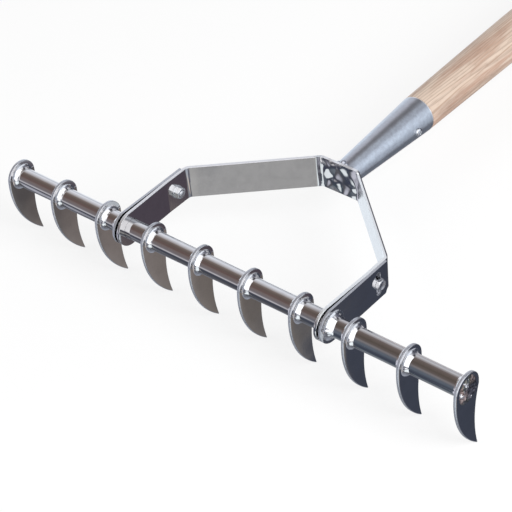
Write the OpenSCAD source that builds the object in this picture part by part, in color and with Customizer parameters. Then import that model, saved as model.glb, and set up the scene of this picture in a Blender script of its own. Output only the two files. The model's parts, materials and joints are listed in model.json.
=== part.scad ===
// Ten-tine scarifying hay and moss rake: a welded stainless head of sickle plate tines
// on a cross tube, a bent flat-bar yoke, a conical socket and a long ash handle.
//
// The design is drawn level, with the tube's axis through the origin:
//   +X along the cross tube, +Y along the handle, +Z up, tine tips pointing down.
// place() then sets it on the floor, resting on its tine tips and on the handle's end,
// with the origin under the middle of the whole rake. Units are millimetres.
//
// The head turns: the tube, tines and side straps are one welded piece that pivots in
// the two bores of the yoke arms. Two M5 bolts, fixed in the yoke, clamp it through
// an arc slot in each strap.

/* [Tines] */
// number of tines along the tube
tine_count = 10; // [4:1:14]
// distance from tine to tine
tine_pitch = 45; // [30:1:60]
// thickness of a tine's plate
tine_t = 2.5; // [2:0.25:4]
// diameter of a tine's round head
tine_head_d = 25.6; // [22:0.2:32]
// how far behind the tube's axis a tip ends
tine_tip_y = 10.8; // [5:0.2:14]

/* [Cross tube] */
// outside diameter of the tube
tube_d = 15; // [12:0.5:20]
// wall thickness of the tube
tube_wall = 1.5; // [1:0.25:3]

/* [Yoke] */
// height of the flat bar, also of the side straps
bar_h = 27; // [20:0.5:35]
// thickness of the flat bar
bar_t = 2.5; // [2:0.25:5]
// inside distance between the two arms at the bolts
yoke_inside = 181; // [140:1:240]
// distance from the tube's axis to the bend at the end of an arm
arm_y = 64.3; // [55:0.1:90]
// distance from the tube's axis to the inner face of the middle flat
flat_y = 130.3; // [110:0.1:170]
// half the length of the middle flat, between its bends
flat_half = 16.1; // [12:0.1:30]
// inside radius of the bends
bend_r = 4; // [2:0.5:8]
// how far an arm leans inwards between the bolt and its rounded end
arm_lean = 1.9; // [0:0.1:2.5]

/* [Side straps and bolts] */
// thickness of a side strap
strap_t = 2; // [1.5:0.25:4]
// distance from the tube's axis to a strap's rear end
strap_y = 61.5; // [58:0.1:80]
// distance from the tube's axis to the clamping bolts
bolt_y = 51.5; // [45:0.1:56]
// diameter of the bolt's thread, M5
bolt_d = 5; // [4:1:8]
// width of the arc slot for the bolt
slot_w = 5.6; // [5.2:0.1:9]
// half the angle between the slot's two end centres
slot_half_angle = 8.3; // [4:0.1:10]

/* [Socket and handle] */
// outside diameter of the socket at the yoke
socket_d1 = 19.4; // [16:0.2:24]
// outside diameter of the socket at its mouth
socket_d2 = 30.2; // [26:0.2:34]
// distance from the tube's axis to the socket's mouth
socket_y = 228.5; // [180:0.5:280]
// wall thickness of the socket
socket_wall = 1.5; // [1:0.25:3]
// diameter of the handle
handle_d = 34; // [31:0.2:38]
// distance from the tube's axis to where the handle reaches its full diameter
handle_full_y = 364; // [240:1:480]
// distance from the tube's axis to the handle's free end
handle_y = 1640; // [900:10:1900]

/* [Clearances] */
// radial clearance of the tube in the yoke's bores and in the plates
run_gap = 0.05; // [0.02:0.01:0.1]
// side clearance between a strap and its yoke arm at the bolt
side_gap = 0.04; // [0.02:0.01:0.1]

/* [Hidden] */
$fn = 96;
eps = 1;

tube_r = tube_d / 2;
bar_r = bar_h / 2;
head_r = tine_head_d / 2;
bore_r = tube_r + run_gap;
tine_x0 = -tine_pitch * (tine_count - 1) / 2;
tube_half = -tine_x0 + tine_t / 2 - 1;

// front edge of a tine: one large circle that leaves the round head at a tangent
front_y = 53.85;
front_z = -5.15;
front_r = norm([front_y, front_z]) + head_r;
// back edge of a tine: a shallow hollow
back_y = 100;
back_z = -32.5;
back_r = 92;
tip_z = front_z - sqrt(front_r * front_r - pow(front_y - tine_tip_y, 2));

// yoke: inner corner points, bend angles and tangent lengths
arm_x = yoke_inside / 2;
arm_out = arm_x + bar_t;
diag = [flat_half - arm_x, flat_y - arm_y];
diag_len = norm(diag);
diag_u = diag / diag_len;
bend_a = acos(diag_u[1]);
bend_b = 90 - bend_a;
tan_a = bend_r * tan(bend_a / 2);
tan_b = bend_r * tan(bend_b / 2);
lean_y = 42;

// straps, bolts and their hardware, as distances from the middle plane
strap_in = arm_out + side_gap;
strap_out = strap_in + strap_t;
hex_af = 8;
head_h = 3;
washer_t = 1;
washer_d = 10;
nut_h = 4;
nut_in = arm_x - washer_t - nut_h;
bolt_end = nut_in - 0.8;

// socket and the handle's tapered end
flat_back = flat_y + bar_t;
socket_slope = (socket_d2 - socket_d1) / 2 / (socket_y - flat_back);
screw_y = 210;
screw_r = 2;
wood_gap = 0.05;
dome_r = 28;
dome_h = dome_r - sqrt(dome_r * dome_r - handle_d * handle_d / 4);

// rest pose: on the tine tips and on the last full circle of the handle
tilt = atan2(-tip_z - handle_d / 2, handle_y - dome_h - tine_tip_y);
rest_z = tine_tip_y * sin(tilt) - tip_z * cos(tilt);
far_y = (handle_y - dome_r) * cos(tilt) + dome_r;
rest_y = -(far_y - bar_r) / 2;

// sets the level design on the floor
module place() {
  translate([0, rest_y, rest_z]) rotate([-tilt, 0, 0]) children();
}

// draws the right side's piece on the left
module left() {
  mirror([1, 0, 0]) children();
}

// extrudes a (y, z) profile along X, from x = a for a length of len
module along_x(a, len) {
  translate([a, 0, 0]) rotate([90, 0, 90]) linear_extrude(len) children();
}

// turns an (x, y) half profile about the X axis, its y becoming the X coordinate
module about_x() {
  rotate([90, 0, 90]) rotate_extrude() children();
}

// turns an (x, y) half profile about the Y axis, its y becoming the Y coordinate
module about_y() {
  rotate([-90, 0, 0]) rotate_extrude() children();
}

// a weld fillet around the tube: leg is its size, s the side it faces
module fillet_about_x(x, leg, s) {
  about_x() polygon([[tube_r + 0.01, x], [tube_r + leg, x], [tube_r + 0.01, x + s * leg]]);
}

// ---- tines ----

module tine_profile() {
  difference() {
    union() {
      circle(r = head_r);
      intersection() {
        translate([front_y, front_z]) circle(r = front_r, $fn = 240);
        polygon([
          [-head_r - 2, 1.2], [head_r, 0], [head_r, -5.5], [tine_tip_y, -10.5],
          [tine_tip_y, tip_z - 2], [-head_r - 2, tip_z - 2]
        ]);
      }
    }
    translate([back_y, back_z]) circle(r = back_r, $fn = 240);
    circle(r = bore_r);
  }
}

module tine(i) {
  color([0.62, 0.62, 0.64]) place()
    along_x(tine_x0 + i * tine_pitch - tine_t / 2, tine_t) tine_profile();
}

module tine_01() tine(0);
module tine_02() tine(1);
module tine_03() tine(2);
module tine_04() tine(3);
module tine_05() tine(4);
module tine_06() tine(5);
module tine_07() tine(6);
module tine_08() tine(7);
module tine_09() tine(8);
module tine_10() tine(9);

// ---- cross tube and its welds ----

module head_tube() {
  color([0.66, 0.66, 0.68]) place()
    along_x(-tube_half, 2 * tube_half) difference() {
      circle(r = tube_r);
      circle(r = tube_r - tube_wall);
    }
}

module tine_welds() {
  color([0.72, 0.7, 0.68]) place()
    for (i = [0 : tine_count - 1], s = [-1, 1])
      let (x = tine_x0 + i * tine_pitch + s * (tine_t / 2 + 0.01))
        if (abs(x) < tube_half) fillet_about_x(x, 2, s);
}

// the plug weld that closes the tube's end on the outer face of the last tine
module end_weld_right() {
  x = -tine_x0 + tine_t / 2 + 0.01;
  plug = tube_r - tube_wall - 0.02;
  color([0.58, 0.5, 0.42]) place()
    about_x() polygon([
      [0, x - 3], [plug, x - 3], [plug, x - 0.98], [bore_r - 0.1, x - 0.98], [bore_r - 0.1, x],
      [9.6, x], [9.2, x + 0.9], [7.8, x + 1.7], [5.5, x + 1.9], [3, x + 1.3], [0, x + 1]
    ]);
}

module end_weld_left() left() end_weld_right();

// ---- side straps ----

// the slot that the bolt runs in, an arc about the tube's axis; its round ends are a hair
// narrower than its sides, so that they never meet at a bare tangent
module slot() {
  reach = 2 * bolt_y * tan(slot_half_angle);
  intersection() {
    difference() {
      circle(r = bolt_y + slot_w / 2, $fn = 240);
      circle(r = bolt_y - slot_w / 2, $fn = 240);
    }
    polygon([[0, 0], [2 * bolt_y, reach], [2 * bolt_y, -reach]]);
  }
  for (s = [-1, 1]) rotate(s * slot_half_angle) translate([bolt_y, 0]) circle(d = slot_w - 0.04);
}

module strap_profile() {
  difference() {
    union() {
      circle(r = bar_r);
      polygon([
        [0, -bar_r], [strap_y - 2.6, -bar_r], [strap_y, -bar_r + 5], [strap_y, bar_r], [0, bar_r]
      ]);
    }
    circle(r = bore_r);
    slot();
  }
}

module side_strap_right() {
  color([0.6, 0.6, 0.62]) place() along_x(strap_in, strap_t) strap_profile();
}

module side_strap_left() left() side_strap_right();

// outer fillets, and the inner beads that keep each strap off its leaning arm
module strap_welds() {
  bead = strap_in - 0.01;
  color([0.72, 0.7, 0.68]) place() for (m = [0, 1]) mirror([m, 0, 0]) {
    fillet_about_x(strap_out + 0.01, 2.2, 1);
    about_x() polygon([
      [tube_r + 0.01, bead], [tube_r + 1.9, bead], [tube_r + 1.6, bead - 0.7],
      [tube_r + 0.8, bead - 1.02], [tube_r + 0.01, bead - 1.02]
    ]);
  }
}

// ---- yoke ----

// everything inside the bar's inner face (t = 0) or outer face (t = bar_t), seen from above,
// from the yoke's middle flat forward to y = front
module bar_fill(t, front) {
  lean = arm_lean * (lean_y - front) / (lean_y + bar_r);
  out = [diag_u[1], -diag_u[0]];
  half = [
    [arm_x + t - lean, front], [arm_x + t, lean_y], [arm_x + t, arm_y - tan_a],
    [arm_x, arm_y] + tan_a * diag_u + t * out, [flat_half, flat_y] - tan_b * diag_u + t * out,
    [flat_half - tan_b, flat_y + t]
  ];
  polygon(concat(half, [for (i = [len(half) - 1 : -1 : 0]) [-half[i][0], half[i][1]]]));
  for (s = [-1, 1]) {
    translate([s * (arm_x - bend_r), arm_y - tan_a]) circle(r = bend_r + t);
    translate([s * (flat_half - tan_b), flat_y - bend_r]) circle(r = bend_r + t);
  }
}

module yoke() {
  color([0.6, 0.6, 0.62]) place() difference() {
    intersection() {
      translate([0, 0, -bar_r]) linear_extrude(bar_h) difference() {
        bar_fill(bar_t, -bar_r - 1);
        bar_fill(0, -bar_r - 2);
      }
      along_x(-arm_out - eps, 2 * (arm_out + eps)) {
        circle(r = bar_r);
        translate([0, -bar_r]) square([flat_back + eps, bar_h]);
      }
    }
    for (s = [-1, 1]) translate([s * arm_x, 0, 0]) rotate([0, 90, 0]) {
      cylinder(r = bore_r, h = 12, center = true);
      translate([0, bolt_y, 0]) cylinder(d = bolt_d + 0.5, h = 12, center = true);
    }
  }
}

// ---- clamping bolts ----

// a hexagon with its corners turned off on the side that s points to
module hex_about_x(x, h, s, hole) {
  r = hex_af / 2 / cos(30);
  translate([0, bolt_y, 0]) difference() {
    intersection() {
      translate([x, 0, 0]) rotate([0, s * 90, 0]) cylinder(r = r, h = h, $fn = 6);
      about_x() polygon([
        [0, x], [r, x], [r, x + s * (h - 0.6)], [r - 0.9, x + s * h], [0, x + s * h]
      ]);
    }
    if (hole > 0) translate([x - s, 0, 0]) rotate([0, s * 90, 0]) cylinder(r = hole, h = h + 2);
  }
}

module bolt_right() {
  face = strap_out + 0.02;
  r = bolt_d / 2;
  color([0.75, 0.75, 0.77]) place() {
    hex_about_x(face, head_h, 1, 0);
    translate([0, bolt_y, 0]) about_x() polygon([
      [0, face + 0.5], [r, face + 0.5], [r, bolt_end + 0.5], [r - 0.5, bolt_end], [0, bolt_end]
    ]);
  }
}

module washer_right() {
  color([0.72, 0.72, 0.74]) place() translate([0, bolt_y, 0])
    along_x(arm_x - washer_t, washer_t) difference() {
      circle(d = washer_d);
      circle(d = bolt_d + 0.3);
    }
}

module nut_right() {
  color([0.75, 0.75, 0.77]) place()
    hex_about_x(arm_x - washer_t, nut_h, -1, bolt_d / 2 + 0.03);
}

module bolt_left() left() bolt_right();
module washer_left() left() washer_right();
module nut_left() left() nut_right();

// ---- socket and handle ----

module socket() {
  r1 = socket_d1 / 2;
  r2 = socket_d2 / 2;
  color([0.42, 0.48, 0.55]) place() difference() {
    about_y() polygon([
      [r1 - socket_wall, flat_back], [r1, flat_back], [r2, socket_y], [r2 - socket_wall, socket_y]
    ]);
    translate([0, screw_y, 0]) rotate([0, 90, 0]) cylinder(r = screw_r + 0.1, h = 40);
  }
}

module socket_weld() {
  r = socket_d1 / 2 + 0.01;
  y = flat_back + 0.01;
  color([0.5, 0.52, 0.55]) place()
    about_y() polygon([[r, y], [r + 2.6, y], [r + 1.9, y + 1.4], [r + 0.14 + 2.6 * socket_slope, y + 2.6]]);
}

// a round-head wood screw that pins the handle in the socket, along X
module socket_screw() {
  seat = socket_d1 / 2 + socket_slope * (screw_y + 3.4 - flat_back) + 0.02;
  color([0.75, 0.75, 0.77]) place() translate([0, screw_y, 0]) about_x() polygon([
    [0, 0.5], [screw_r, 3.5], [screw_r, seat], [3.4, seat], [3.4, seat + 0.6],
    [2.9, seat + 1.5], [1.8, seat + 2.1], [0, seat + 2.3]
  ]);
}

module handle() {
  y0 = flat_back + 6;
  r0 = socket_d1 / 2 - socket_wall + socket_slope * (y0 - flat_back) - wood_gap;
  r1 = socket_d2 / 2 - socket_wall - wood_gap;
  r2 = socket_d2 / 2 - 0.02;
  r = handle_d / 2;
  y1 = socket_y + 0.1;
  color([0.84, 0.7, 0.54]) place() difference() {
    about_y() intersection() {
      polygon([
        [0, y0], [r0 - 1, y0], [r0, y0 + 1], [r1, y1], [r2 - 0.6, y1], [r2, y1 + 0.6],
        [r, handle_full_y], [r, handle_y + eps], [0, handle_y + eps]
      ]);
      union() {
        square([handle_d, handle_y - dome_r]);
        translate([0, handle_y - dome_r]) circle(r = dome_r);
      }
    }
    translate([-0.3, screw_y, 0]) rotate([0, 90, 0]) cylinder(r = screw_r + 0.03, h = 40);
  }
}

head_tube();
tine_01();
tine_02();
tine_03();
tine_04();
tine_05();
tine_06();
tine_07();
tine_08();
tine_09();
tine_10();
tine_welds();
end_weld_left();
end_weld_right();
side_strap_left();
side_strap_right();
strap_welds();
yoke();
bolt_left();
bolt_right();
washer_left();
washer_right();
nut_left();
nut_right();
socket();
socket_weld();
socket_screw();
handle();
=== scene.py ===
import bmesh
import bpy
import json
import math
from mathutils import Euler, Matrix, Vector, noise


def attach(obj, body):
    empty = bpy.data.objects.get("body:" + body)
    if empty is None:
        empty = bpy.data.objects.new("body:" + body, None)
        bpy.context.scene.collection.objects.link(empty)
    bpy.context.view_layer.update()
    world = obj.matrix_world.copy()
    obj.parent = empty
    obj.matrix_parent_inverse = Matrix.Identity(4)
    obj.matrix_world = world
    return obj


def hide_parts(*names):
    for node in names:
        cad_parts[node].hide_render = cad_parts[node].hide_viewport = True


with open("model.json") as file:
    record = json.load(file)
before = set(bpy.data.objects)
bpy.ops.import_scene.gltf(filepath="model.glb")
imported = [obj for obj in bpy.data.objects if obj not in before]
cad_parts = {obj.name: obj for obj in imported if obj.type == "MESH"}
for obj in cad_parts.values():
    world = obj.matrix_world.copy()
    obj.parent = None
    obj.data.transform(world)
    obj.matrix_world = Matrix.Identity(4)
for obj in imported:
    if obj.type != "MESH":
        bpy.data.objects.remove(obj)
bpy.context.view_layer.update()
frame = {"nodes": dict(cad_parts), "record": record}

MM = 0.001
REC = frame["record"]
JOINT = REC["behaviour"]["joints"][0]
GRIP = [m for m in REC["mounts"] if m["name"] == "handle_grip"][0]
TILT = math.atan2(-GRIP["axis"][2], GRIP["axis"][1])
# the level design frame of the rake (tube along X through the origin, handle along Y) in the world
PLACE = Matrix.Translation(JOINT["pos_m"]) @ Matrix.Rotation(-TILT, 4, "X")

TUBE_R = 7.5
TINE_T = 2.5
PITCH = 45.0
TINE_X = [-202.5 + PITCH * i for i in range(10)]
STRAP_IN, STRAP_OUT = 93.04, 95.04
BOLT_Y = 51.5
# points closer than this, in metres, are one point
SAME_POINT = 1e-7


def smooth(x, a, b):
    t = min(1.0, max(0.0, (x - a) / (b - a)))
    return t * t * (3 - 2 * t)


# ---------------------------------------------------------------- node helpers

def new_material(name):
    m = bpy.data.materials.new(name)
    m.use_nodes = True
    t = m.node_tree
    t.nodes.clear()
    out = t.nodes.new("ShaderNodeOutputMaterial")
    bsdf = t.nodes.new("ShaderNodeBsdfPrincipled")
    t.links.new(bsdf.outputs["BSDF"], out.inputs["Surface"])
    return m, t, bsdf


def put(t, socket, value):
    """Links a socket, or sets a plain value."""
    if hasattr(value, "is_output"):
        t.links.new(value, socket)
    elif isinstance(value, (tuple, list)) and socket.type == "RGBA" and len(value) == 3:
        socket.default_value = (*value, 1.0)
    else:
        socket.default_value = value


def math_node(t, op, a, b=0.0, c=0.0):
    n = t.nodes.new("ShaderNodeMath")
    n.operation = op
    for s, v in zip(n.inputs, (a, b, c)):
        put(t, s, v)
    return n.outputs[0]


def mul(t, a, b):
    return math_node(t, "MULTIPLY", a, b)


def mul_add(t, a, b, c):
    return math_node(t, "MULTIPLY_ADD", a, b, c)


def step_node(t, x, a, b, lo=0.0, hi=1.0):
    """A smooth step: lo up to x = a, hi from x = b."""
    n = t.nodes.new("ShaderNodeMapRange")
    n.interpolation_type = "SMOOTHSTEP"
    put(t, n.inputs["Value"], x)
    for key, v in (("From Min", a), ("From Max", b), ("To Min", lo), ("To Max", hi)):
        n.inputs[key].default_value = v
    return n.outputs["Result"]


def mix_node(t, fac, a, b, kind="RGBA"):
    n = t.nodes.new("ShaderNodeMix")
    n.data_type = kind
    # the node keeps one pair of inputs and one output for each data type
    first, out = (6, 2) if kind == "RGBA" else (2, 0)
    put(t, n.inputs[0], fac)
    put(t, n.inputs[first], a)
    put(t, n.inputs[first + 1], b)
    return n.outputs[out]


def ramp_node(t, fac, stops, mode="EASE"):
    n = t.nodes.new("ShaderNodeValToRGB")
    n.color_ramp.interpolation = mode
    e = n.color_ramp.elements
    while len(e) > 1:
        e.remove(e[-1])
    e[0].position = stops[0][0]
    e[0].color = (*stops[0][1], 1.0)
    for p, c in stops[1:]:
        k = e.new(p)
        k.color = (*c, 1.0)
    put(t, n.inputs["Fac"], fac)
    return n.outputs["Color"]


def noise_node(t, vec, scale, detail=2.0, rough=0.5, distort=0.0, out="Fac"):
    n = t.nodes.new("ShaderNodeTexNoise")
    put(t, n.inputs["Vector"], vec)
    n.inputs["Scale"].default_value = scale
    n.inputs["Detail"].default_value = detail
    n.inputs["Roughness"].default_value = rough
    n.inputs["Distortion"].default_value = distort
    return n.outputs[out]


def bump_node(t, height, distance, strength=1.0, normal=None):
    n = t.nodes.new("ShaderNodeBump")
    n.inputs["Strength"].default_value = strength
    n.inputs["Distance"].default_value = distance
    put(t, n.inputs["Height"], height)
    if normal is not None:
        t.links.new(normal, n.inputs["Normal"])
    return n.outputs["Normal"]


def level_coords(t):
    """Object coordinates turned back to the level design frame, so that Y runs along the handle."""
    tc = t.nodes.new("ShaderNodeTexCoord")
    sub = t.nodes.new("ShaderNodeVectorMath")
    sub.operation = "SUBTRACT"
    t.links.new(tc.outputs["Object"], sub.inputs[0])
    sub.inputs[1].default_value = JOINT["pos_m"]
    mp = t.nodes.new("ShaderNodeMapping")
    mp.inputs["Rotation"].default_value = (TILT, 0, 0)
    t.links.new(sub.outputs[0], mp.inputs["Vector"])
    return mp.outputs["Vector"]


def split(t, vec):
    n = t.nodes.new("ShaderNodeSeparateXYZ")
    put(t, n.inputs[0], vec)
    return n.outputs


def object_normal(t):
    tc = t.nodes.new("ShaderNodeTexCoord")
    return tc.outputs["Normal"]


def stretched(t, vec, along, by):
    """Coordinates whose patterns are drawn out along one axis; by is the scale on that axis."""
    mp = t.nodes.new("ShaderNodeMapping")
    mp.inputs["Scale"].default_value = tuple(by if k == along else 1.0 for k in "xyz")
    put(t, mp.inputs["Vector"], vec)
    return mp.outputs["Vector"]


def scratches(t, vec, along, scale=1560.0):
    """Fine polishing lines: noise stretched a long way in one direction."""
    return noise_node(t, stretched(t, vec, along, 0.03), scale, 3.0, 0.6)


# ---------------------------------------------------------------- materials

STEEL = (0.65, 0.645, 0.65)
RIM_ROUGH = 0.34


def edge_fall(t, v):
    """Height of a tine's face in metres: polishing has rounded it off towards its outline."""
    _, y, z = split(t, v)

    def inside(cy, cz, r):
        dy, dz = math_node(t, "SUBTRACT", y, cy), math_node(t, "SUBTRACT", z, cz)
        d = math_node(t, "SQRT", math_node(t, "ADD", mul(t, dy, dy), mul(t, dz, dz)))
        return math_node(t, "SUBTRACT", r, d)

    # the round head about the tube, and the long arc of the tine's front
    head = inside(0.0, 0.0, 0.0128)
    front = inside(0.05385, -0.00515, 0.0669)
    d = mix_node(t, step_node(t, z, 0.0, 0.0024), front, head, "FLOAT")
    d = math_node(t, "MAXIMUM", d, 0.0)
    return mul(t, math_node(t, "EXPONENT", mul(t, d, -420.0)), -0.0001)


def steel(name, wave=0.00018, wave_scale=28.0, grain="y", grain_depth=0.000004, edge=True, falls=False):
    """Electropolished stainless: a mirror with slow waves, faint polishing lines and satin cut edges."""
    m, t, b = new_material(name)
    v = level_coords(t)
    lines = scratches(t, v, grain)
    slow = noise_node(t, v, wave_scale, 1.5, 0.4)
    patch = noise_node(t, v, 120.0, 4.0, 0.62)
    col = mix_node(t, step_node(t, patch, 0.35, 0.75), STEEL, tuple(c * 0.92 for c in STEEL))
    b.inputs["Metallic"].default_value = 1.0
    r = mul_add(t, patch, 0.06, 0.03)
    if edge:
        # cut edges are left matt enough to look pale from every side
        nx = math_node(t, "ABSOLUTE", split(t, object_normal(t))[0])
        rim = step_node(t, nx, 0.85, 0.35)
        put(t, b.inputs["Metallic"], mul_add(t, rim, -0.22, 1.0))
        r = mix_node(t, rim, r, RIM_ROUGH, "FLOAT")
        col = mix_node(t, rim, col, (0.50, 0.52, 0.57))
    put(t, b.inputs["Base Color"], col)
    put(t, b.inputs["Roughness"], r)
    n1 = bump_node(t, slow, wave)
    if falls:
        n1 = bump_node(t, edge_fall(t, v), 1.0, 1.0, n1)
    n2 = bump_node(t, lines, grain_depth, 1.0, n1)
    t.links.new(n2, b.inputs["Normal"])
    return m


def tube_steel():
    return steel("tube_steel", wave=0.00005, wave_scale=18.0, grain="x", grain_depth=0.000003, edge=False)


def yoke_steel():
    """Flat bar: brushed across its height, and drawn into waves by the socket's weld."""
    m, t, b = new_material("yoke_steel")
    v = level_coords(t)
    x, y, _ = split(t, v)
    lines = scratches(t, v, "z", 2520.0)
    patch = noise_node(t, v, 120.0, 4.0, 0.6)
    ax = math_node(t, "ABSOLUTE", x)
    flat = mul(t, step_node(t, y, 0.1275, 0.1297), step_node(t, ax, 0.0225, 0.0155))
    diag = mul(t, step_node(t, y, 0.066, 0.07), step_node(t, y, 0.1285, 0.1265))
    shift = t.nodes.new("ShaderNodeVectorMath")
    shift.operation = "ADD"
    put(t, shift.inputs[0], v)
    shift.inputs[1].default_value = (0.81, 0.5, 0.35)
    swirl = noise_node(t, shift.outputs[0], 82.0, 0.2, 0.4, 0.35)
    dent = noise_node(t, v, 150.0, 0.0, 0.4)
    slow = noise_node(t, v, 20.0, 1.0, 0.4)
    col = mix_node(t, step_node(t, patch, 0.35, 0.75), STEEL, (0.6, 0.595, 0.6))
    nz = math_node(t, "ABSOLUTE", split(t, object_normal(t))[2])
    rim = step_node(t, nz, 0.45, 0.9)
    r = mul_add(t, patch, 0.05, 0.03)
    r = math_node(t, "ADD", r, mul(t, diag, mul_add(t, lines, 0.1, 0.1)))
    r = mix_node(t, rim, r, RIM_ROUGH, "FLOAT")
    brushed = mul(t, diag, mul(t, lines, 0.25))
    col = mix_node(t, brushed, col, (0.55, 0.55, 0.55))
    # the right arm's cut edge has a painted highlight, a brighter colour than the other edges, and a
    # painted shade line, dark, along its outer corner; across is the distance from the arm's inner face
    right = step_node(t, x, 0.0165, 0.018)
    col = mix_node(t, rim, col, mix_node(t, right, (0.78, 0.79, 0.82), (0.93, 0.97, 1.0)))
    across = mul_add(t, x, 0.6636, mul_add(t, y, 0.7481, -0.108158))
    painted_shade_line = mul(t, step_node(t, across, 0.0014, 0.0017), right)
    painted_shade_line = mul(t, painted_shade_line, step_node(t, y, 0.062, 0.066))
    col = mix_node(t, mul(t, painted_shade_line, step_node(t, nz, 0.2, 0.4)), col, (0.11, 0.11, 0.13))
    put(t, b.inputs["Metallic"], mul_add(t, rim, -0.26, 1.0))
    put(t, b.inputs["Base Color"], col)
    put(t, b.inputs["Roughness"], r)
    n1 = bump_node(t, slow, 0.0001)
    n2 = bump_node(t, mul(t, swirl, flat), 0.0036, 1.0, n1)
    # the bar is drawn round a little beside its left bend
    past = math_node(t, "MAXIMUM", math_node(t, "ADD", x, 0.0161), 0.0)
    draw = math_node(t, "EXPONENT", mul(t, past, -260.0))
    depth = mul_add(t, noise_node(t, v, 110.0, 1.0, 0.5), 0.0009, 0.0002)
    draw = mul(t, draw, depth)
    n2 = bump_node(t, mul(t, draw, flat), 1.0, 1.0, n2)
    n3 = bump_node(t, mul(t, dent, flat), 0.0003, 1.0, n2)
    n4 = bump_node(t, lines, 0.000006, 1.0, n3)
    t.links.new(n4, b.inputs["Normal"])
    return m


def weld_steel():
    """Polished weld metal: nearly a mirror, with soft ripples and a few dull pits."""
    m, t, b = new_material("weld_steel")
    v = level_coords(t)
    lump = noise_node(t, v, 420.0, 2.0, 0.5)
    pit = noise_node(t, v, 900.0, 1.0, 0.5)
    patch = noise_node(t, v, 160.0, 3.0, 0.5)
    col = mix_node(t, step_node(t, patch, 0.5, 0.85), (0.8, 0.8, 0.81), (0.62, 0.6, 0.58))
    b.inputs["Metallic"].default_value = 1.0
    put(t, b.inputs["Base Color"], col)
    put(t, b.inputs["Roughness"], mul_add(t, step_node(t, pit, 0.6, 0.75), 0.2, 0.15))
    t.links.new(bump_node(t, lump, 0.00018), b.inputs["Normal"])
    return m


def tinted_weld():
    """The plug weld: lumpy dark metal with brown, rose and green heat tint and bright high spots."""
    m, t, b = new_material("tinted_weld_metal")
    v = level_coords(t)
    lump = noise_node(t, v, 340.0, 2.0, 0.55, 0.4)
    hue = noise_node(t, v, 150.0, 1.5, 0.5, 0.6)
    _, y, z = split(t, v)
    # a row of bright beads lies in front of the middle, level with it and just above
    front = mul(t, step_node(t, y, 0.0015, -0.0015), step_node(t, z, -0.003, 0.0))
    front = mul(t, front, step_node(t, z, 0.007, 0.0045))
    high = mul_add(t, front, 0.085, noise_node(t, v, 330.0, 1.0, 0.5))
    bright = step_node(t, high, 0.59, 0.66)
    col = ramp_node(t, hue, [
        (0.28, (0.10, 0.105, 0.12)), (0.40, (0.17, 0.17, 0.145)), (0.48, (0.14, 0.12, 0.11)),
        (0.56, (0.33, 0.25, 0.23)), (0.64, (0.42, 0.33, 0.31)), (0.74, (0.13, 0.13, 0.16)),
    ], "LINEAR")
    # the lower front of the weld is rosy brown; its sunken middle and back are painted nearly black as
    # painted shade
    painted_shade_sunk = mul(t, step_node(t, y, -0.004, 0.0), step_node(t, z, 0.0065, 0.003))
    col = mix_node(t, mul(t, painted_shade_sunk, 0.9), col, (0.075, 0.08, 0.105))
    low = step_node(t, math_node(t, "ADD", y, z), -0.002, -0.008)
    rosy = mul(t, low, step_node(t, y, 0.004, -0.001))
    rosy = mul(t, rosy, mul(t, step_node(t, hue, 0.36, 0.6), 0.8))
    col = mix_node(t, rosy, col, (0.70, 0.56, 0.53))
    col = mix_node(t, bright, col, (0.92, 0.90, 0.90))
    b.inputs["Metallic"].default_value = 1.0
    put(t, b.inputs["Base Color"], col)
    put(t, b.inputs["Roughness"], mix_node(t, bright, 0.34, 0.08, "FLOAT"))
    t.links.new(bump_node(t, lump, 0.0011), b.inputs["Normal"])
    return m


def bright_steel():
    m, t, b = new_material("bright_fastener_steel")
    v = level_coords(t)
    patch = noise_node(t, v, 420.0, 3.0, 0.6)
    b.inputs["Metallic"].default_value = 1.0
    put(t, b.inputs["Base Color"], mix_node(t, patch, (0.86, 0.87, 0.88), (0.66, 0.67, 0.69)))
    put(t, b.inputs["Roughness"], mul_add(t, patch, 0.2, 0.16))
    t.links.new(bump_node(t, patch, 0.00006), b.inputs["Normal"])
    return m


def socket_coat():
    """Satin blue-grey metal with a fine grain, a little rubbed on its rim."""
    m, t, b = new_material("socket_coat")
    v = level_coords(t)
    y = split(t, v)[1]
    peel = noise_node(t, v, 1500.0, 2.0, 0.6)
    cloud = noise_node(t, v, 70.0, 4.0, 0.6)
    speck = noise_node(t, v, 2300.0, 1.0, 0.5)
    col = mix_node(t, step_node(t, cloud, 0.3, 0.75), (0.55, 0.595, 0.655), (0.62, 0.68, 0.75))
    col = mix_node(t, mul(t, step_node(t, speck, 0.55, 0.7), 0.25), col, (0.40, 0.42, 0.48))
    mottle = step_node(t, noise_node(t, v, 380.0, 4.0, 0.65), 0.36, 0.64)
    col = mix_node(t, mul(t, mottle, 0.38), col, (0.36, 0.38, 0.43))
    # painted shade: the top, where the surface faces up, is painted a darker grey
    painted_shade_top = step_node(t, split(t, object_normal(t))[2], 0.89, 0.99)
    col = mix_node(t, mul(t, painted_shade_top, 0.5), col, (0.37, 0.36, 0.39))
    heat = step_node(t, y, 0.146, 0.1335)
    col = mix_node(t, mul(t, heat, 0.5), col, (0.42, 0.42, 0.46))
    rim = step_node(t, y, 0.2276, 0.2283)
    col = mix_node(t, rim, col, (0.86, 0.86, 0.87))
    put(t, b.inputs["Base Color"], col)
    b.inputs["Metallic"].default_value = 0.93
    put(t, b.inputs["Roughness"], mul_add(t, cloud, 0.1, 0.27))
    n1 = bump_node(t, peel, 0.00005)
    t.links.new(n1, b.inputs["Normal"])
    return m


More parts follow.
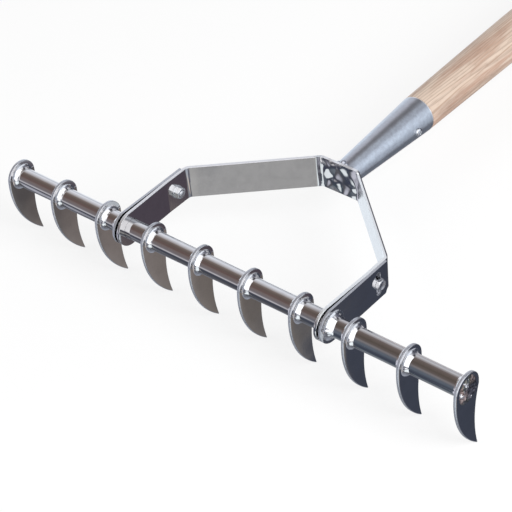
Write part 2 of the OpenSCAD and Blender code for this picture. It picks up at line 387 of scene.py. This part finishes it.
def ash_wood():
    """Ash: growth rings about an axis beside the handle's, cut by its surface into long streaks,
    with short dark pores along the grain."""
    m, t, b = new_material("ash_handle_wood")
    v = level_coords(t)
    long = stretched(t, v, "y", 0.1)
    warp = noise_node(t, long, 34.0, 2.0, 0.5, 0.0, "Color")
    wv = t.nodes.new("ShaderNodeVectorMath")
    wv.operation = "MULTIPLY_ADD"
    t.links.new(warp, wv.inputs[0])
    wv.inputs[1].default_value = (0.016, 0.0, 0.016)
    put(t, wv.inputs[2], v)
    x, y, z = split(t, wv.outputs[0])
    # the rings' centre drifts slowly along the handle, which draws the pointed arches
    cx = mul_add(t, y, 0.035, -0.034)
    cz = mul_add(t, y, -0.028, 0.030)
    dx = math_node(t, "SUBTRACT", x, cx)
    dz = math_node(t, "SUBTRACT", z, cz)
    rad = math_node(t, "SQRT", math_node(t, "ADD", mul(t, dx, dx), mul(t, dz, dz)))
    ring = math_node(t, "FRACT", mul(t, rad, 430.0))
    late = mul(t, step_node(t, ring, 0.35, 0.9), step_node(t, ring, 1.0, 0.93))
    fine = stretched(t, v, "y", 0.03)
    fibre = noise_node(t, fine, 1500.0, 3.0, 0.6)
    pores = step_node(t, noise_node(t, fine, 2600.0, 1.0, 0.5), 0.66, 0.74)
    tone = noise_node(t, long, 60.0, 3.0, 0.55)
    base = mix_node(t, step_node(t, tone, 0.3, 0.7), (0.535, 0.41, 0.33), (0.63, 0.505, 0.41))
    flame_in = stretched(t, wv.outputs[0], "y", 0.07)
    # pink heartwood streaks, pushed low onto the handle's right side so that they darken that side as
    # painted shade
    vx, _, vz = split(t, v)
    round_it = math_node(t, "SUBTRACT", vx, vz)
    heartwood_and_painted_shade = step_node(t, round_it, 0.005, 0.015, -0.045, 0.1)
    flame = math_node(t, "ADD", noise_node(t, flame_in, 105.0, 3.0, 0.6), heartwood_and_painted_shade)
    flame = step_node(t, flame, 0.43, 0.58)
    base = mix_node(t, mul(t, flame, 0.9), base, (0.425, 0.27, 0.2))
    # with a brown line where it starts
    drift = noise_node(t, long, 90.0, 3.0, 0.6)
    wander = mul_add(t, drift, 0.012, round_it)
    start = mul(t, step_node(t, wander, 0.0115, 0.0128), step_node(t, wander, 0.0152, 0.0134))
    base = mix_node(t, mul(t, start, 0.6), base, (0.33, 0.19, 0.125))
    col = mix_node(t, mul(t, late, 0.62), base, (0.33, 0.225, 0.17))
    col = mix_node(t, mul(t, step_node(t, fibre, 0.35, 0.7), 0.35), col, (0.66, 0.56, 0.48))
    col = mix_node(t, mul(t, pores, 0.55), col, (0.28, 0.18, 0.13))
    put(t, b.inputs["Base Color"], col)
    put(t, b.inputs["Roughness"], mul_add(t, late, -0.08, 0.5))
    b.inputs["Specular IOR Level"].default_value = 0.22
    n1 = bump_node(t, fibre, 0.00006)
    n2 = bump_node(t, pores, -0.0001, 1.0, n1)
    t.links.new(n2, b.inputs["Normal"])
    return m


MAT = {
    "tine": steel("tine_steel", grain="z", falls=True),
    "strap": steel("strap_steel", grain="y", wave=0.0001),
    "tube": tube_steel(),
    "yoke": yoke_steel(),
    "weld": weld_steel(),
    "tinted": tinted_weld(),
    "bright": bright_steel(),
    "socket": socket_coat(),
    "wood": ash_wood(),
}


def dress(node, mat, bevel=0.0):
    """Gives a CAD node its material, and softens its cut edges."""
    o = frame["nodes"][node]
    if not o.material_slots:
        o.data.materials.append(None)
    for s in o.material_slots:
        s.link = "OBJECT"
        s.material = mat
    if bevel:
        w = o.modifiers.new("weld", "WELD")
        w.merge_threshold = 0.000002
        d = o.modifiers.new("flats", "DECIMATE")
        d.decimate_type = "DISSOLVE"
        d.angle_limit = math.radians(0.4)
        k = o.modifiers.new("bevel", "BEVEL")
        k.width = bevel
        k.segments = 3
        k.limit_method = "ANGLE"
        k.angle_limit = math.radians(32)
        k.harden_normals = True


for i in range(1, 11):
    dress("tine_%02d" % i, MAT["tine"], 0.00045)
dress("head_tube", MAT["tube"])
for side in ("left", "right"):
    dress("side_strap_" + side, MAT["strap"], 0.00035)
    dress("washer_" + side, MAT["bright"], 0.00015)
    dress("nut_" + side, MAT["bright"], 0.0002)
dress("yoke", MAT["yoke"], 0.00045)
dress("socket", MAT["socket"])
dress("handle", MAT["wood"])


# ---------------------------------------------------------------- mesh helpers

def ring_mesh(name, patches, mat, sharp=None, wrap=False, cap=False):
    """Builds one mesh from grids of closed rings. A patch is a list of rings of level-frame points
    in millimetres. wrap joins its last ring to its first, and cap closes both its ends."""
    verts, faces = [], []
    for rings in patches:
        base, n, m = len(verts), len(rings[0]), len(rings)
        for ring in rings:
            verts.extend(tuple(PLACE @ (Vector(p) * MM)) for p in ring)
        for j in range(m if wrap else m - 1):
            for i in range(n):
                k, l = (i + 1) % n, (j + 1) % m
                faces.append((base + j * n + i, base + j * n + k, base + l * n + k, base + l * n + i))
        if cap:
            for j, order in ((0, -1), (m - 1, 1)):
                faces.append(tuple(base + j * n + i for i in range(n))[::order])
    me = bpy.data.meshes.new(name)
    me.from_pydata(verts, [], faces)
    for p in me.polygons:
        p.use_smooth = True
    if sharp is not None:
        me.set_sharp_from_angle(angle=math.radians(sharp))
    me.materials.append(mat)
    o = bpy.data.objects.new(name, me)
    bpy.context.collection.objects.link(o)
    bm = bmesh.new()
    bm.from_mesh(me)
    bmesh.ops.remove_doubles(bm, verts=bm.verts, dist=SAME_POINT)
    bmesh.ops.recalc_face_normals(bm, faces=bm.faces)
    bm.to_mesh(me)
    bm.free()
    return o


def turns(n):
    """n equal steps round a circle, in radians."""
    return [2 * math.pi * i / n for i in range(n)]


def around_x(x, r, a, y0=0.0):
    """A point on a circle about a line along X at y0; a is measured from +Y towards +Z."""
    return (x, y0 + r * math.cos(a), r * math.sin(a))


def lump(a, seed, size=1.0, freq=2.0):
    """Smooth periodic noise around a circle."""
    return size * noise.noise(Vector((math.cos(a) * freq, math.sin(a) * freq, seed)))


def fillet_rings(x0, s, leg_x, seed, toe=12.0, wave=1.0):
    """A smooth, slightly wavy fillet between a plate's face at x0 and the tube; s is the side it
    lies on. It leaves the tube at toe degrees and steepens to 78 degrees at the plate."""
    n, rows, heel = 144, 14, 78.0
    run, rise = [0.0], [0.0]
    for j in range(rows):
        slope = math.radians(toe + (heel - toe) * ((j + 0.5) / rows) ** 1.9)
        run.append(run[-1] + math.cos(slope))
        rise.append(rise[-1] + math.sin(slope))
    rings = []
    for j in range(rows + 1):
        ring = []
        for a in turns(n):
            k = (leg_x + wave * lump(a, seed, 0.9, 1.5)) / run[-1]
            dx = k * (run[-1] - run[j])
            dr = k * rise[j]
            swell = wave * math.sin(math.pi * (j / rows)) * lump(a, seed + 11.0, 0.2, 4.0)
            ring.append(around_x(x0 + s * (dx + 0.5 * swell), TUBE_R + dr + swell, a))
        rings.append(ring)
    # close it through the corner, just inside the tube's wall and the plate's face
    return rings + [[around_x(x0 + s * 0.02, TUBE_R - 0.05, a) for a in turns(n)]]


# ---------------------------------------------------------------- welds on the tube

tine_fillets = []
for i, x in enumerate(TINE_X):
    for s in (-1, 1):
        # the outer faces of the end tines have plug welds instead
        if abs(x + s * TINE_T) < TINE_X[-1] + TINE_T / 2:
            tine_fillets.append(fillet_rings(x + s * TINE_T / 2, s, 3.7, 1.7 * i + 0.9 * s, wave=0.7))
beads = ring_mesh("tine_weld_beads", tine_fillets, MAT["weld"], 50, wrap=True)
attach(beads, "tine_head")
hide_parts("tine_welds")

strap_fillets = []
for s in (-1, 1):
    strap_fillets.append(fillet_rings(s * STRAP_OUT, s, 5.6, 31.0 + s, wave=1.3))
    strap_fillets.append(fillet_rings(s * STRAP_IN, -s, 0.9, 41.0 + s, toe=50.0, wave=0.4))
strap_beads = ring_mesh("strap_weld_beads", strap_fillets, MAT["weld"], 50, wrap=True)
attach(strap_beads, "tine_head")
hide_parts("strap_welds")


def end_weld(side, s):
    """The lumpy plug weld on the outer face of an end tine: a raised ring round a sunken middle."""
    face = s * (TINE_X[-1] + TINE_T / 2)
    n, rings = 132, []
    for j in range(34):
        u = j / 33
        ring = []
        for a in turns(n):
            edge = 10.3 + 1.1 * math.sin(2 * (a - math.radians(25)))
            edge = min(edge + lump(a, 5.0 * s, 1.0, 1.3) + lump(a, 9.0 * s, 0.4, 4.5), 12.0)
            r = edge * u
            p = Vector((math.cos(a) * r * 0.42, math.sin(a) * r * 0.42, 2.0 * s))
            rough = 0.85 * noise.noise(p) + 0.5 * noise.noise(p * 2.3) + 0.28 * noise.noise(p * 5.1)
            crown = 0.5 + 1.25 * math.exp(-((r - 6.6) / 2.1) ** 2)
            h = (crown + 0.75 * rough) * (1 - smooth(u, 0.82, 1.0)) - 0.05
            ring.append(around_x(face + s * max(h, -0.05), r, a))
        rings.append(ring)
    back = [around_x(face - s * 0.3, 5.0, a) for a in turns(n)]
    o = ring_mesh("end_weld_puddle_" + side, [rings + [back]], MAT["tinted"], 60, cap=True)
    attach(o, "tine_head")
    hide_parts("end_weld_" + side)


end_weld("right", 1)
end_weld("left", -1)


# ---------------------------------------------------------------- bolts

def hex_radius(a, af):
    k = (a + math.pi / 6) % (math.pi / 3) - math.pi / 6
    return af / 2 / math.cos(k)


def bolt(side, s):
    """M5 hexagon bolt: chamfered and slightly dished head, plain neck and a real helical thread."""
    face, tip = STRAP_OUT + 0.02, 84.7
    af, h, n = 8.0, 3.0, 96
    # the hexagon's corners point up and down
    turn = math.pi / 2

    def head_ring(dx, cap):
        return [around_x(s * (face + dx), min(hex_radius(a - turn, af), cap), a, BOLT_Y) for a in turns(n)]

    rings = [head_ring(0.0, 2.4), head_ring(0.0, 3.8), head_ring(0.12, 3.9), head_ring(0.14, 9.0)]
    for k in range(7):
        rings.append(head_ring(h - 0.75 + 0.1 * k, 4.62 - 0.12 * k))
    rings += [head_ring(h - 0.02, 3.75), head_ring(h, 3.5),
              head_ring(h - 0.25, 2.9), head_ring(h - 0.3, 0.02)]
    rings = rings[::-1]
    # neck and thread, from under the head to the tip
    pitch, rows = 0.8, 118
    start = face - 2.4
    neck = [[around_x(s * x, 2.46, a, BOLT_Y) for a in turns(n)] for x in (face, start)]
    thread = []
    for j in range(rows + 1):
        x = start + (tip - start) * j / rows
        fade = smooth(start - x, 0.0, 0.6)
        end = max(0.0, 0.55 - (x - tip)) * 0.9
        ring = []
        for a in turns(n):
            ph = (x / pitch - s * a / (2 * math.pi)) % 1.0
            tri = abs(2 * ph - 1)
            depth = 0.42 * fade * min(1.0, max(0.0, (tri - 0.12) / 0.76))
            ring.append(around_x(s * x, 2.48 - depth - end * (1 - tri * 0.5), a, BOLT_Y))
        thread.append(ring)
    thread.append([around_x(s * tip, 0.02, a, BOLT_Y) for a in turns(n)])
    o = ring_mesh("clamp_bolt_" + side, [rings + neck + thread], MAT["bright"], 35, cap=True)
    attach(o, "frame")
    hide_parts("bolt_" + side)


bolt("right", 1)
bolt("left", -1)


# ---------------------------------------------------------------- socket weld and screw

def around_y(y, r, a):
    """A point on a circle about the handle's axis; a is measured from +X towards +Z."""
    return (r * math.cos(a), y, r * math.sin(a))


def socket_bead():
    """Lumpy bead between the socket's small end and the yoke, with a few spatter balls."""
    n, rows, patches = 180, 14, []
    r0, y0 = 9.7, 132.8
    rings = []
    for j in range(rows + 1):
        t = math.pi * j / rows / 2
        ring = []
        for a in turns(n):
            size = 2.3 + lump(a, 3.3, 0.8, 2.2)
            rip = 0.14 * math.sin(26 * a + 2 * math.sin(t)) * math.sin(2 * t)
            knob = 0.6 * max(0.0, noise.noise(Vector((4 * math.cos(a), 4 * math.sin(a), t * 1.5))))
            k = size + rip + knob
            ring.append(around_y(y0 + 0.02 + k * math.sin(t), r0 + 0.05 + k * math.cos(t) * 0.95, a))
        rings.append(ring)
    rings.append([around_y(y0 + 2.2, r0 + 0.02, a) for a in turns(n)])
    rings.append([around_y(y0 + 0.02, r0 + 0.02, a) for a in turns(n)])
    patches.append(rings + [rings[0]])
    for a, y, size, r in ((1.9, 134.6, 1.5, 11.3), (1.52, 135.0, 2.4, 11.9), (1.27, 134.6, 1.6, 12.1),
                          (0.1, 134.4, 1.2, 11.6), (-0.7, 134.0, 0.9, 12.0)):
        c = around_y(y, r, a)
        ball = []
        for j in range(9):
            ph = math.pi * j / 8
            across = size * math.sin(ph) if 0 < j < 8 else 0.0
            up = c[1] + size * math.cos(ph)
            ball.append([(c[0] + across * math.cos(b), up, c[2] + across * math.sin(b)) for b in turns(16)])
        patches.append(ball)
    o = ring_mesh("socket_weld_bead", patches, MAT["socket"])
    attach(o, "frame")
    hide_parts("socket_weld")


socket_bead()


def socket_screw():
    """Round-head wood screw with a cross recess, set in the socket's +X side."""
    y0, seat, n = 210.0, 14.26, 96
    rings = []
    for j in range(22):
        u = j / 21
        r = 3.4 * u
        ring = []
        for a in turns(n):
            dome = 2.3 * math.sqrt(max(0.0, 1 - (u * 0.93) ** 2)) - 0.1
            arm = min(abs(r * math.sin(a)), abs(r * math.cos(a)))
            cut = (1 - smooth(arm, 0.25, 0.5)) * (1 - smooth(r, 1.5, 2.0)) * 1.1
            ring.append(around_x(seat + dome - cut, max(r, 0.01), a, y0))
        rings.append(ring)
    rings += [[around_x(seat - 0.3, r, a, y0) for a in turns(n)] for r in (3.35, 1.95)]
    for j in range(60):
        x = seat - 0.4 - (seat - 1.4) * j / 59
        taper = 1 - smooth(j / 59, 0.75, 1.0) * 0.9
        rings.append([around_x(x, taper * (1.95 - 0.45 * abs(2 * ((x / 1.8 - i / n) % 1.0) - 1)),
                               2 * math.pi * i / n, y0) for i in range(n)])
    o = ring_mesh("socket_wood_screw", [rings], MAT["bright"], 35, cap=True)
    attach(o, "frame")
    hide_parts("socket_screw")


socket_screw()


# ---------------------------------------------------------------- studio

def studio_world():
    """A white studio for the camera and for diffuse light. Mirror surfaces see the room round it:
    a white sweep behind, a dark warm ceiling over the left, a big softbox on the right."""
    w = bpy.data.worlds.new("studio")
    bpy.context.scene.world = w
    w.use_nodes = True
    t = w.node_tree
    t.nodes.clear()
    out = t.nodes.new("ShaderNodeOutputWorld")
    tc = t.nodes.new("ShaderNodeTexCoord")
    x, y, z = split(t, tc.outputs["Generated"])
    turn = math_node(t, "ARCTAN2", z, y)
    fac = mul_add(t, turn, 0.5 / math.pi, 0.5)

    def at(deg):
        return (deg + 180.0) / 360.0

    left = ramp_node(t, fac, [
        (at(-180), (0.36, 0.34, 0.36)), (at(-175), (0.62, 0.60, 0.63)), (at(-170), (0.80, 0.78, 0.84)),
        (at(-165), (0.40, 0.40, 0.43)), (at(-159), (0.10, 0.10, 0.13)), (at(-148), (0.07, 0.08, 0.11)),
        (at(-125), (0.11, 0.115, 0.135)), (at(-105), (0.14, 0.14, 0.16)), (at(-88), (0.28, 0.28, 0.31)),
        (at(-66), (0.42, 0.44, 0.46)), (at(-45), (1.0, 1.02, 1.06)), (at(-8), (1.08, 1.12, 1.2)),
        (at(12), (0.74, 0.78, 0.86)), (at(30), (1.05, 1.09, 1.18)), (at(52), (0.83, 0.83, 0.89)),
        (at(70), (0.54, 0.51, 0.52)), (at(82), (0.26, 0.21, 0.19)), (at(105), (0.18, 0.14, 0.125)),
        (at(130), (0.19, 0.13, 0.12)), (at(150), (0.25, 0.205, 0.2)), (at(172), (0.25, 0.22, 0.24)),
        (at(180), (0.36, 0.34, 0.36)),
    ])
    # towards the tube's right end the room's left side is darker and has no bright line
    near = ramp_node(t, fac, [
        (at(-180), (0.15, 0.18, 0.23)), (at(-160), (0.10, 0.12, 0.155)), (at(-146), (0.07, 0.08, 0.12)),
        (at(-128), (0.08, 0.10, 0.13)), (at(-110), (0.22, 0.25, 0.29)), (at(-88), (0.34, 0.35, 0.38)),
        (at(-68), (0.32, 0.34, 0.35)), (at(-40), (0.80, 0.80, 0.84)), (at(-10), (0.72, 0.72, 0.78)),
        (at(12), (0.56, 0.57, 0.62)), (at(32), (0.74, 0.74, 0.78)), (at(50), (0.50, 0.47, 0.485)),
        (at(66), (0.22, 0.18, 0.17)), (at(88), (0.18, 0.145, 0.13)), (at(110), (0.14, 0.115, 0.10)),
        (at(130), (0.17, 0.14, 0.13)), (at(150), (0.28, 0.26, 0.27)), (at(168), (0.17, 0.19, 0.23)),
        (at(180), (0.15, 0.18, 0.23)),
    ])
    left = mix_node(t, step_node(t, x, -0.51, -0.475), left, near)
    right = ramp_node(t, fac, [
        (at(-180), (1.8, 1.8, 1.84)), (at(-173), (1.5, 1.5, 1.54)), (at(-165), (0.16, 0.16, 0.2)),
        (at(-150), (0.12, 0.12, 0.15)), (at(-118), (0.14, 0.145, 0.17)), (at(-95), (0.24, 0.255, 0.30)),
        (at(-68), (0.36, 0.385, 0.45)), (at(-59), (0.18, 0.19, 0.235)), (at(-54), (0.066, 0.076, 0.107)),
        (at(-30), (0.062, 0.070, 0.096)), (at(8), (0.07, 0.074, 0.10)), (at(28), (0.2, 0.2, 0.25)),
        (at(50), (0.36, 0.37, 0.42)), (at(66), (0.9, 0.91, 0.96)), (at(82), (1.7, 1.7, 1.74)),
        (at(180), (1.8, 1.8, 1.84)),
    ])
    # low behind on the right, the dark ground turns warm: brown towards the side, purple further back
    ground = ramp_node(t, mul_add(t, x, 5.0, -2.4), [
        (0.0, (0.066, 0.076, 0.107)), (0.02, (0.066, 0.076, 0.107)), (0.06, (0.165, 0.16, 0.165)),
        (0.2, (0.178, 0.158, 0.148)), (0.31, (0.195, 0.17, 0.155)), (0.46, (0.27, 0.235, 0.222)),
        (0.60, (0.25, 0.215, 0.203)), (0.72, (0.155, 0.134, 0.130)), (0.82, (0.095, 0.088, 0.09)),
    ], "LINEAR")
    nearer = step_node(t, turn, math.radians(-51.0), math.radians(-54.0))
    ground = mix_node(t, mul(t, nearer, 0.12), ground, (0.60, 0.57, 0.55))
    side = step_node(t, x, 0.484, 0.493)
    low = step_node(t, turn, math.radians(-48.9), math.radians(-50.2))
    warm = mix_node(t, low, (0.099, 0.082, 0.106), ground)
    warm = mix_node(t, step_node(t, turn, math.radians(-56.0), math.radians(-67)), warm, (0.32, 0.34, 0.39))
    gmask = mul(t, step_node(t, y, 0.3, 0.4), step_node(t, z, -0.45, -0.55))
    right = mix_node(t, mul(t, gmask, side), right, warm)
    env = mix_node(t, step_node(t, x, -0.30, -0.08), left, right)

    def panel(env, direction, inner, outer, colour):
        d = t.nodes.new("ShaderNodeVectorMath")
        d.operation = "DOT_PRODUCT"
        t.links.new(tc.outputs["Generated"], d.inputs[0])
        d.inputs[1].default_value = Vector(direction).normalized()
        m = step_node(t, d.outputs["Value"], math.cos(math.radians(outer)), math.cos(math.radians(inner)))
        return mix_node(t, m, env, colour)

    # softbox behind on the right, a grey card low in front of it, white cards in front and to the left
    env = panel(env, (0.98, 0.0, -0.15), 22, 33, (0.54, 0.585, 0.67))
    env = panel(env, (0.80, 0.55, 0.27), 13, 30, (1.04, 1.10, 1.2))
    env = panel(env, (-0.134, 0.635, 0.76), 10, 19, (0.06, 0.056, 0.064))
    env = panel(env, (-0.25, 0.635, -0.73), 14, 20, (0.18, 0.175, 0.19))
    env = panel(env, (0.72, 0.635, -0.32), 9, 19, (0.60, 0.63, 0.70))
    env = panel(env, (0.79, -0.06, -0.60), 6, 13, (0.78, 0.69, 0.62))
    env = panel(env, (0.52, -0.61, -0.60), 8, 11, (0.555, 0.555, 0.55))
    env = panel(env, (-0.03, -0.78, -0.62), 19, 24, (1.1, 1.18, 1.22))
    env = panel(env, (-0.88, -0.30, -0.38), 19, 28, (0.74, 0.75, 0.86))
    env = panel(env, (-0.66, 0.41, -0.63), 13, 18, (1.02, 1.1, 1.18))
    env = panel(env, (-0.98, 0.05, 0.15), 20, 32, (1.05, 1.15, 1.25))
    bg_env = t.nodes.new("ShaderNodeBackground")
    put(t, bg_env.inputs["Color"], env)
    bg_white = t.nodes.new("ShaderNodeBackground")
    bg_white.inputs["Color"].default_value = (1, 1, 1, 1)
    lp = t.nodes.new("ShaderNodeLightPath")
    # past the floor's edge a low camera sees the same pale grey as the floor
    put(t, bg_white.inputs["Strength"], mul_add(t, lp.outputs["Is Camera Ray"], 0.29, 0.6))
    mix = t.nodes.new("ShaderNodeMixShader")
    t.links.new(lp.outputs["Is Glossy Ray"], mix.inputs[0])
    t.links.new(bg_white.outputs[0], mix.inputs[1])
    t.links.new(bg_env.outputs[0], mix.inputs[2])
    t.links.new(mix.outputs[0], out.inputs["Surface"])


studio_world()


def area(name, loc, target, size, power, colour=(1, 1, 1)):
    d = bpy.data.lights.new(name, "AREA")
    d.shape = "RECTANGLE"
    d.size, d.size_y = size
    d.energy = power
    d.color = colour
    o = bpy.data.objects.new(name, d)
    bpy.context.collection.objects.link(o)
    o.location = loc
    o.rotation_euler = (Vector(target) - Vector(loc)).to_track_quat("-Z", "Y").to_euler()
    o.visible_glossy = False
    return o


TUBE_AT = Vector(JOINT["pos_m"])
area("key_softbox", TUBE_AT + Vector((1.5, -0.1, 1.2)), TUBE_AT + Vector((0, 0.25, 0)), (1.2, 1.2), 30)
area("fill_softbox", TUBE_AT + Vector((-1.0, -1.4, 1.6)), TUBE_AT, (1.6, 1.6), 9)

def paper_floor(half=14.0):
    """A pale matt floor that glows a little, so that it stays nearly white."""
    m, t, b = new_material("floor_paper")
    v = t.nodes.new("ShaderNodeTexCoord").outputs["Object"]
    col = mix_node(t, noise_node(t, v, 3.0, 2.0), (0.9, 0.9, 0.9), (0.93, 0.93, 0.93))
    put(t, b.inputs["Base Color"], col)
    b.inputs["Roughness"].default_value = 0.9
    glow = t.nodes.new("ShaderNodeEmission")
    glow.inputs["Strength"].default_value = 1.0
    mix = t.nodes.new("ShaderNodeMixShader")
    mix.inputs[0].default_value = 0.75
    t.links.new(b.outputs["BSDF"], mix.inputs[1])
    t.links.new(glow.outputs[0], mix.inputs[2])
    out = [n for n in t.nodes if n.type == "OUTPUT_MATERIAL"][0]
    t.links.new(mix.outputs[0], out.inputs["Surface"])
    me = bpy.data.meshes.new("floor")
    corners = [(-half, -half, 0), (half, -half, 0), (half, half, 0), (-half, half, 0)]
    me.from_pydata(corners, [], [(0, 1, 2, 3)])
    me.materials.append(m)
    floor = bpy.data.objects.new("floor", me)
    bpy.context.collection.objects.link(floor)
    floor.visible_glossy = False


paper_floor()

# camera: a long lens, above and to the right of the head's front; both in the level frame,
# in millimetres and degrees
CAMERA_AT = (688.72, -699.21, 818.25)
CAMERA_TURN = (50.475, 4.444, 39.59)
cd = bpy.data.cameras.new("camera")
cd.lens = 129.0
cd.sensor_width = 36.0
cd.clip_end = 50.0
cam = bpy.data.objects.new("camera", cd)
bpy.context.collection.objects.link(cam)
aim = Euler([math.radians(a) for a in CAMERA_TURN], "XYZ").to_matrix().to_4x4()
cam.matrix_world = PLACE @ Matrix.Translation(Vector(CAMERA_AT) * MM) @ aim
bpy.context.scene.camera = cam
# plain display colours, so that white paper comes out white
bpy.context.scene.view_settings.view_transform = "Standard"
